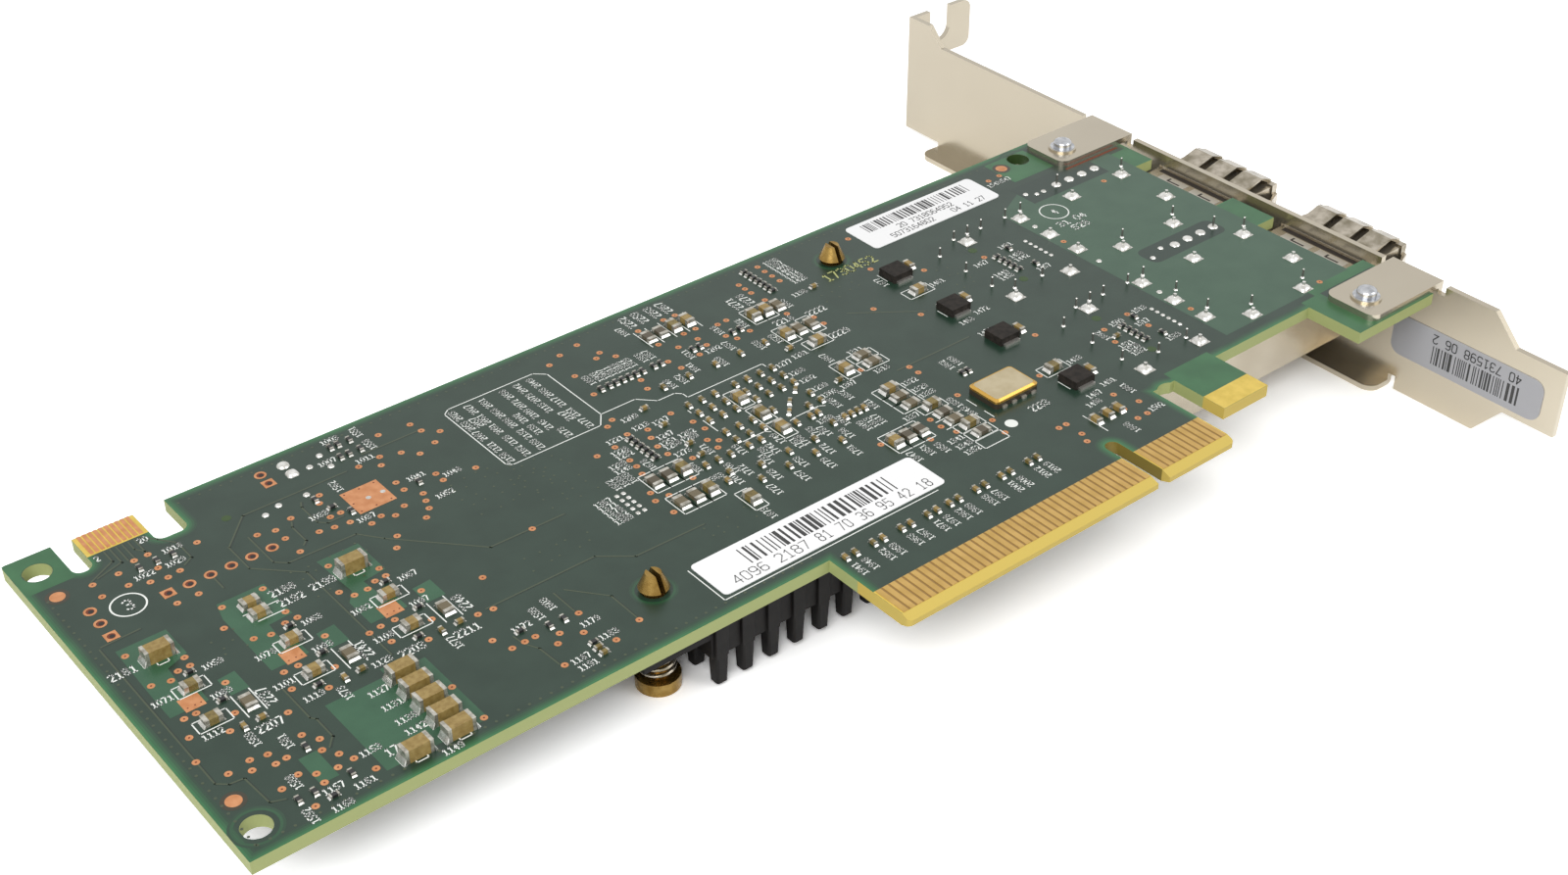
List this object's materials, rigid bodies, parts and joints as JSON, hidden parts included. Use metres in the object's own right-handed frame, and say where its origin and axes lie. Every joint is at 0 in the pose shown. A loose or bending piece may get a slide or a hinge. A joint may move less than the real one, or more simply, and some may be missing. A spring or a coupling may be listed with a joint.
{
  "type": "fibre channel adapter",
  "caption": "Server adapter card with an edge tongue, a folded slot bracket, cages for optical modules and a pin-fin heat sink on sprung pins.",
  "frame": {"origin": "tip line of the edge tongue in the middle of its key notch, on the solder face", "axes": "+X along the board towards the bracket, +Y from the tongue to the opposite edge, +Z out of the solder face"},
  "size_m": [0.1793, 0.1217, 0.021],
  "materials": {
    "board": "green solder mask",
    "gold": "gold plated",
    "bracket_steel": "nickel plated",
    "cage_steel": "nickel plated",
    "spring_steel": "bright",
    "screw_steel": "zinc plated",
    "solder": "bright solder",
    "black_plastic": "moulded",
    "clear_plastic": "clear",
    "sink_black": "black anodised",
    "brass_pin": "turned",
    "substrate": "laminate",
    "lid_metal": "plated",
    "pad": "soft pad",
    "ceramic_tan": "fired ceramic",
    "ceramic_gold": "ceramic with a gilt rim",
    "terminal": "tinned",
    "resistor_black": "glazed",
    "ferrite": "sintered",
    "label_paper": "printed film"
  },
  "bodies": {
    "root": {"address_label": "label_paper", "bracket_label": "label_paper", "bracket_screws": "screw_steel", "bulk_capacitors": "ceramic_tan", "cage_solder_joints": "solder", "cage_spring_collar_1": "spring_steel", "cage_spring_collar_2": "spring_steel", "chip_inductors": "ferrite", "chip_resistors": "resistor_black", "circuit_board": "board", "controller_lid": "lid_metal", "controller_package": "substrate", "edge_contacts_part_side": "gold", "edge_contacts_solder_side": "gold", "filter_coil_leads": "terminal", "filter_coils": "ferrite", "heat_sink": "sink_black", "indicator_blocks": "black_plastic", "indicator_pin_joints": "solder", "large_capacitor_bodies": "ceramic_tan", "large_capacitor_ends": "terminal", "light_pipes": "clear_plastic", "medium_capacitors": "ceramic_tan", "memory_chip": "black_plastic", "memory_leads": "terminal", "module_cage_1": "cage_steel", "module_cage_2": "cage_steel", "module_connector_1": "black_plastic", "module_connector_2": "black_plastic", "mounting_bracket": "bracket_steel", "oscillator_base": "ceramic_gold", "oscillator_lid": "lid_metal", "power_inductors": "ferrite", "push_pin_springs": "spring_steel", "push_pins": "brass_pin", "resistor_arrays": "resistor_black", "serial_label": "label_paper", "service_contacts": "gold", "small_capacitors": "ceramic_tan", "standard_capacitors": "ceramic_tan", "thermal_pad": "pad", "voltage_regulators": "black_plastic"}
  },
  "joints": []
}
